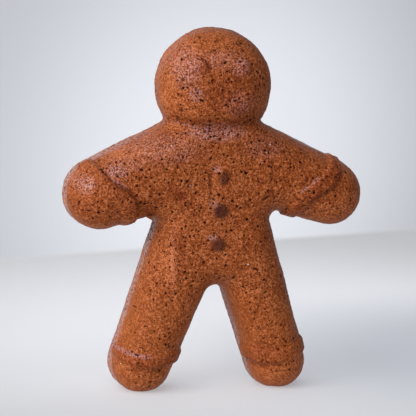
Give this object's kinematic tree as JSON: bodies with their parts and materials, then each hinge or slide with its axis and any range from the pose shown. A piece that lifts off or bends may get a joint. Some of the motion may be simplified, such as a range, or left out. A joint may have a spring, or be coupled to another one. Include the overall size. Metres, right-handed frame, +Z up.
{
  "type": "gingerbread man cookie",
  "caption": "Thick moulded gingerbread figure with round head, spread arms and legs, raised cuffs, ankle bands, buttons and a faint face, standing on its feet.",
  "frame": {"origin": "on the floor under the middle of the biscuit's box", "axes": "+Z up through the head, -Y out of the crowned front, +X to the right as seen from the front"},
  "size_m": [0.1056, 0.0198, 0.126],
  "materials": {
    "crust": "browned gingerbread crust, softly shining, with fine pores"
  },
  "bodies": {
    "root": {"cookie": "crust"}
  },
  "joints": []
}
